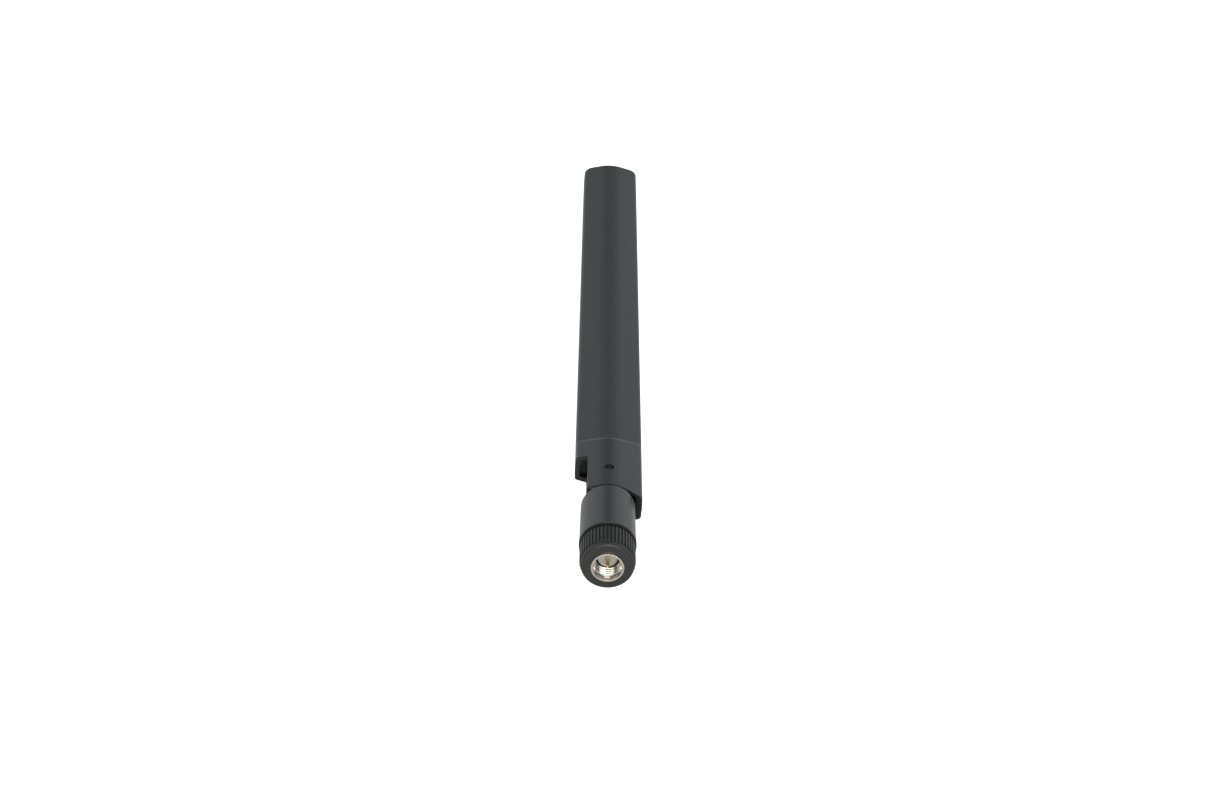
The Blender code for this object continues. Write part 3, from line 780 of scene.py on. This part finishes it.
def yoke_half(name, side):
    """Half shell on the side +1 (front) or -1 (back) of mid-thickness, with all its cuts."""
    end = seam_y - seam_gap / 2
    half = loft_between(name, blade_section(), yoke_start, end)
    half.data.materials.append(housing_black)
    spigot = loft_between("spigot", blade_section(wall + 0.1 * mm), end - 1.0 * mm, spigot_end)
    combine(half, spigot, "UNION")
    hollow = loft_between("hollow", blade_section(wall), yoke_start - 1.0 * mm, cavity_end)
    # The hollow's faces take the darker colour, painted shade inside the housing.
    combine(half, hollow, "DIFFERENCE", painted_shade_inside)
    pad_low, pad_high = sorted((side * 2.5 * mm, side * (half_height - wall / 2)))
    pad_profile = np.array([(3.2 * mm, pad_low), (3.2 * mm, pad_high)])
    combine(half, surface("pad", along_z(lathed(pad_profile, 64), pivot_y)), "UNION")
    hole_low, hole_high = sorted((0.0, side * 2.0 * half_height))
    hole_profile = np.array([(pivot_hole, hole_low), (pivot_hole, hole_high)])
    combine(half, surface("hole", along_z(lathed(hole_profile, 64), pivot_y)), "DIFFERENCE")
    channel_ends = (cavity_end - 1.0 * mm, spigot_end + 1.0 * mm)
    channel_profile = np.array([(cable_channel, y) for y in channel_ends])
    combine(half, surface("channel", lathed(channel_profile, 40)), "DIFFERENCE")
    outside = half_width + 2.0 * mm
    notch = rounded([
        (-outside, yoke_start - 1.0 * mm, 0.0), (-corner_foot, yoke_start - 1.0 * mm, 0.0),
        (-corner_foot, yoke_start, 0.0), (-tongue_half_width, notch_foot, 0.7 * mm),
        (-tongue_half_width, notch_top, 0.35 * mm), (-outside, notch_top, 0.0),
    ])
    combine(half, prism("notch", notch, -2.0 * half_height, 2.0 * half_height), "DIFFERENCE")
    rib_low, rib_high = sorted((0.0, side * side_rib_height))
    rib_outline = np.array([
        (side_rib_inner, yoke_start), (side_rib_outer, yoke_start),
        (side_rib_outer, pivot_y - 1.5 * mm), (side_rib_inner + 0.5 * mm, pivot_y - 2.0 * mm),
    ])
    combine(half, prism("closed_side", rib_outline, rib_low, rib_high), "UNION")
    combine(half, foot_cone(), "DIFFERENCE")
    low, high = sorted((side * parting_gap / 2, -side * 2.0 * half_height))
    below, above = yoke_start - 1.0 * mm, spigot_end + 1.0 * mm
    other_side = np.array([(-outside, below), (outside, below), (outside, above), (-outside, above)])
    combine(half, prism("other_side", other_side, low, high), "DIFFERENCE")
    soften(half, 0.16 * mm)
    return half


for name, side, node in (("yoke_front_shell", 1, "yoke_front"), ("yoke_back_shell", -1, "yoke_back")):
    fit_out(yoke_half(name, side), housing_black, "blade", [node])

# %% [markdown]
# Two short pins are held in the holes of the housing, sunk below its faces, and turn in the tongue. A plain
# cylinder would do for the shape, but its rim would be razor sharp, so the profile has a rounded edge.

# %% Pivot pins


def pin_profile(radius, inner, outer, edge=0.12 * mm):
    """A short pin from inner to outer along its axis, with a broken outer edge."""
    corners = [
        (0.05 * mm, inner, 0.0), (radius, inner, 0.05 * mm),
        (radius, outer, edge), (0.05 * mm, outer, 0.0),
    ]
    return rounded(corners, closed=False, steps=4)


pin_inner = cable_channel + 0.1 * mm
pin_outer = half_height - pivot_recess
for name, side, node in (("front_pivot", 1, "pivot_pin_front"), ("back_pivot", -1, "pivot_pin_back")):
    profile = pin_profile(pivot_pin, pin_inner, pin_outer) * np.array([1.0, side])
    pin = surface(name, along_z(lathed(profile, 64), pivot_y))
    fit_out(pin, housing_black, "blade", [node])

# %% [markdown]
# ## The barrel
#
# The barrel is turned in shape but moulded in plastic: a slightly tapered tube with a small flared lip at
# its foot and a broken upper rim. A lathed profile makes it in one grid. The flat tongue that the blade
# turns on, its cable slot and its pin hole are then joined and cut, because they are not round.

# %% Barrel and tongue
barrel_lip, barrel_waist, barrel_top = 6.52 * mm, 6.42 * mm, 6.27 * mm
shank_bore = 3.0 * mm
bore_end = barrel_start + 11.7 * mm
barrel_profile = rounded([
    (shank_bore, barrel_start, 0.0), (barrel_lip, barrel_start, 0.16 * mm),
    (barrel_lip, barrel_start + 0.7 * mm, 2.0 * mm), (barrel_waist, barrel_start + 3.2 * mm, 6.0 * mm),
    (barrel_top, barrel_end, 0.40 * mm), (cable_channel, barrel_end, 0.0),
    (cable_channel, bore_end, 0.0), (shank_bore, bore_end, 0.0),
])
barrel = surface("barrel_moulding", lathed(barrel_profile, 160), wrap_rows=True)

arc = np.linspace(0.0, math.pi, 49)
tongue_end = np.column_stack([tongue_half_width * np.cos(arc), pivot_y + tongue_half_width * np.sin(arc)])
foot = barrel_end - 1.0 * mm
tongue_outline = np.vstack([[(-tongue_half_width, foot), (tongue_half_width, foot)], tongue_end])
combine(barrel, prism("tongue", tongue_outline, -tongue_half_thickness, tongue_half_thickness), "UNION")
past = tongue_half_width + 1.0 * mm
slot_half_height = cable_channel - 0.08 * mm
slot_outline = np.array([
    (-cable_channel, bore_end - 0.5 * mm), (cable_channel, bore_end - 0.5 * mm),
    (cable_channel, pivot_y + past), (-past, pivot_y + past),
    (-past, pivot_y - 2.0 * mm), (-cable_channel, pivot_y - 5.0 * mm),
])
combine(barrel, prism("slot", slot_outline, -slot_half_height, slot_half_height), "DIFFERENCE")
hole_profile = np.array([(pivot_hole, -3.0 * mm), (pivot_hole, 3.0 * mm)])
combine(barrel, surface("hole", along_z(lathed(hole_profile, 64), pivot_y)), "DIFFERENCE")
soften(barrel, 0.15 * mm)
fit_out(barrel, housing_black, "base", ["barrel"])

# %% [markdown]
# ## The coupling nut
#
# Fingers turn the black grip, and the plated sleeve inside it carries the thread. The grip is one closed
# surface of angle and station: a profile gives the radius and the place along the axis, and where the
# profile says so, the ribs are cut in as a wave of the angle. Modelling each rib would give the same
# picture with far more pieces.

# %% Ribbed grip
rib_count = 46
points_per_rib = 14
groove_floor = 5.84 * mm
grip_rib_radius = grip_high.x
grip_rim = 5.99 * mm
sleeve_radius = sleeve_high.x


def rib_wave(angle):
    """0 on a rib's flat crest and 1 at the bottom of a groove, with smooth flanks between them."""
    phase = np.abs((angle * rib_count / (2.0 * math.pi)) % 1.0 - 0.5) * 2.0
    flank = np.clip((0.52 - phase) / 0.30, 0.0, 1.0)
    return flank * flank * (3.0 - 2.0 * flank)


def grip_points():
    """Radius = floor + (profile radius - floor) x (1 - rib wave) along the ribs, else the profile's."""
    nose_end = grip_face + 1.15 * mm
    nose = rounded([
        (sleeve_radius + 0.02 * mm, grip_face, 0.0), (grip_rim, grip_face, 0.6 * mm),
        (grip_rim, nose_end, 0.06 * mm), (groove_floor, nose_end + 0.03 * mm, 0.06 * mm),
        (groove_floor, nose_end + 0.2 * mm, 0.0),
    ], closed=False, steps=9)
    ribs = rounded([
        (groove_floor, nose_end + 0.24 * mm, 0.0), (grip_rib_radius, nose_end + 0.28 * mm, 0.25 * mm),
        (grip_rib_radius, nut_rear - 0.12 * mm, 0.2 * mm), (groove_floor, nut_rear - 0.08 * mm, 0.0),
    ], closed=False, steps=7)
    rear = np.array([(groove_floor, nut_rear), (sleeve_radius + 0.02 * mm, nut_rear)])
    profile = np.vstack([nose, ribs, rear])
    ribbed = np.zeros((len(profile), 1))
    ribbed[len(nose):len(nose) + len(ribs)] = 1.0
    angle = np.linspace(0.0, 2.0 * math.pi, rib_count * points_per_rib, endpoint=False)[None, :]
    radius = profile[:, :1] - ribbed * (profile[:, :1] - groove_floor) * rib_wave(angle)
    return np.stack([radius * np.sin(angle), profile[:, 1:] + 0.0 * angle, radius * np.cos(angle)], axis=-1)


grip = surface("ribbed_grip", grip_points(), wrap_rows=True, sharp=50.0)
fit_out(grip, grip_black, "coupling_nut", ["nut_grip"])

# %% [markdown]
# The thread is a helix cut into the bore. On a grid of angle and place along the axis it is one formula:
# the radius rises and falls as a flattened triangle wave of y / pitch - angle / 360 degrees, so each
# turn moves the groove along by one pitch, which is what makes it right-handed.

# %% Threaded sleeve
thread_pitch = 25.4 / 36.0 * mm
thread_crest = 2.84 * mm
thread_root = 3.17 * mm
counterbore = 3.24 * mm
sleeve_teeth = 64
points_per_tooth = 6


def thread_wave(turns):
    """0 on a crest and 1 in a root: a triangle wave of the turns with its tips cut flat."""
    triangle = 1.0 - np.abs((turns % 1.0) * 2.0 - 1.0)
    return np.clip((triangle - 0.30) / 0.58, 0.0, 1.0)


def sleeve_points():
    """Rows run from the rear outside, round the serrated mouth, down the thread to the plain rear bore."""
    front, rear = sleeve_low.y, sleeve_high.y
    thread_end = front + 4.6 * mm
    angle = np.linspace(0.0, 2.0 * math.pi, sleeve_teeth * points_per_tooth, endpoint=False)[None, :]
    outside = np.array([(sleeve_radius, rear), (sleeve_radius, grip_face - 0.02 * mm)])
    lip = rounded([
        (sleeve_radius, grip_face - 0.1 * mm, 0.0), (sleeve_radius, front, 0.06 * mm),
        (counterbore + 0.05 * mm, front, 0.06 * mm), (counterbore, front + 0.9 * mm, 0.05 * mm),
        (thread_crest + 0.16 * mm, front + 1.12 * mm, 0.05 * mm),
        (thread_crest + 0.16 * mm, front + 1.2 * mm, 0.0),
    ], closed=False, steps=5)
    bore = np.column_stack([np.full(76, thread_crest), np.linspace(front + 1.22 * mm, thread_end, 76)])
    tail = np.array([(2.75 * mm, thread_end + 0.02 * mm), (2.75 * mm, rear)])
    profile = np.vstack([outside, lip, bore, tail])
    teeth = np.zeros(len(profile))
    teeth[len(outside):len(outside) + 7] = 0.07 * mm
    wave = 0.5 + 0.5 * np.cos(sleeve_teeth * angle)
    radius = profile[:, :1] - teeth[:, None] * wave
    first, stop = len(outside) + len(lip), len(outside) + len(lip) + len(bore)
    fade = np.zeros(len(profile))
    fade[first:stop] = np.clip(np.minimum(np.arange(76), np.arange(76)[::-1]) / 4.0, 0.0, 1.0)
    turns = profile[:, 1:] / thread_pitch - angle / (2.0 * math.pi)
    radius = radius + fade[:, None] * (thread_root - thread_crest) * thread_wave(turns)
    return np.stack([radius * np.sin(angle), profile[:, 1:] + 0.0 * angle, radius * np.cos(angle)], axis=-1)


sleeve = surface("threaded_sleeve", sleeve_points(), wrap_rows=True, sharp=60.0)
fit_out(sleeve, nickel, "coupling_nut", ["nut_sleeve"])

# %% [markdown]
# ## The plug inside the nut
#
# Deep in the nut sits the plug itself: a thin-walled ferrule filled with a pale fluoropolymer bead, and a
# gold pin with a thicker base. All three are lathed. Their rims are broken by a few hundredths of a
# millimetre, which is enough to catch the light.

# %% Ferrule body, bead and pin
ferrule = 2.3 * mm
bead_radius = ferrule - 0.2 * mm
body_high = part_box("connector_body")[1]
bead_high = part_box("dielectric_bead")[1]
flange = 1.0 * mm
body_radius, shank_radius, collar_radius = 2.5 * mm, 2.7 * mm, 3.6 * mm
neck_start = body_high.y - 3.0 * mm
body_profile = rounded([
    (ferrule, 0.0, 0.06 * mm), (ferrule, flange, 0.03 * mm), (body_radius, flange, 0.05 * mm),
    (body_radius, nut_rear + 0.15 * mm, 0.0), (collar_radius, nut_rear + 0.15 * mm, 0.08 * mm),
    (collar_radius, barrel_start - 0.15 * mm, 0.08 * mm), (shank_radius, barrel_start - 0.15 * mm, 0.0),
    (shank_radius, neck_start, 0.1 * mm), (1.5 * mm, neck_start, 0.0), (1.5 * mm, body_high.y, 0.05 * mm),
    (cable_channel, body_high.y, 0.0), (cable_channel, bead_high.y + 0.15 * mm, 0.0),
    (bead_radius + 0.02 * mm, bead_high.y + 0.15 * mm, 0.0), (bead_radius + 0.02 * mm, 0.0, 0.03 * mm),
])
body_piece = surface("plug_body", lathed(body_profile, 144), wrap_rows=True)
fit_out(body_piece, nickel, "base", ["connector_body"])

bead_profile = rounded([
    (pin_high.x + 0.01 * mm, 0.05 * mm, 0.0), (bead_radius, 0.05 * mm, 0.05 * mm),
    (bead_radius, bead_high.y, 0.0), (pin_high.x + 0.01 * mm, bead_high.y, 0.0),
])
bead = surface("insulating_bead", lathed(bead_profile, 128), wrap_rows=True)
fit_out(bead, fluoropolymer, "base", ["dielectric_bead"])

pin_radius, base_radius = 0.45 * mm, 0.58 * mm
contact_profile = rounded([
    (0.02 * mm, pin_low.y, 0.0), (0.24 * mm, pin_low.y, 0.14 * mm),
    (pin_radius, pin_low.y + 0.5 * mm, 0.3 * mm),
    (pin_radius, -0.95 * mm, 0.04 * mm), (base_radius, -0.82 * mm, 0.05 * mm),
    (base_radius, pin_high.y, 0.05 * mm), (0.02 * mm, pin_high.y, 0.0),
], closed=False, steps=6)
contact = surface("gold_contact", lathed(contact_profile, 64))
fit_out(contact, gold, "base", ["centre_pin"])

# %% [markdown]
# ## The cable
#
# A thin coaxial cable runs from the plug through the hinge to the board. Its ends are straight, but the
# short length at the hinge bends when the blade folds, so that stretch is a tube with many rings. It is
# left in place, on neither body.

# %% Cable lengths


def cable_tube(name, start, end, rings):
    """A round tube along the axis with evenly spaced rings and slightly rounded ends."""
    edge = 0.12 * mm
    y = np.linspace(start + edge, end - edge, rings)
    profile = np.column_stack([np.full(rings, cable_radius), y])
    ends = np.array([(cable_radius - edge, start)]), np.array([(cable_radius - edge, end)])
    return surface(name, lathed(np.vstack([ends[0], profile, ends[1]]), 32), sharp=60.0)


for name, body, node in (("cable_in_base", "base", "coax_base"), ("cable_in_blade", "blade", "coax_blade")):
    low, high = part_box(node)
    fit_out(cable_tube(name, low.y, high.y, 12), jacket, body, [node])

flex_low, flex_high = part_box("coax_flex")
flex = cable_tube("cable_at_hinge", flex_low.y, flex_high.y, 40)
dress(flex, jacket)
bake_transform(flex)
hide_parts("coax_flex")

# %% [markdown]
# ## The pieces out of sight
#
# The board, its copper, the solder, the foam and the small rings are already the right shape in the
# working model. They keep their meshes and only take a proper finish, which shows when the model is
# opened up.

# %% Finishes for the inner pieces
inner_finishes = {
    "antenna_board": solder_mask, "copper_upper_arm": copper, "copper_lower_left_arm": copper,
    "copper_lower_right_arm": copper, "copper_feed_tab": copper, "feed_solder": solder,
    "braid_solder": solder, "coax_core": fluoropolymer, "heat_shrink": jacket, "board_pad_lower": foam,
    "board_pad_upper": foam, "face_gasket": silicone, "retaining_ring": bright_steel,
    "crimp_sleeve": nickel, "spring_washer": bright_steel, "thrust_washer": bright_steel,
}
for node, finish in inner_finishes.items():
    frame["nodes"][node].data.materials[0] = finish
print("inner pieces dressed:", len(inner_finishes))
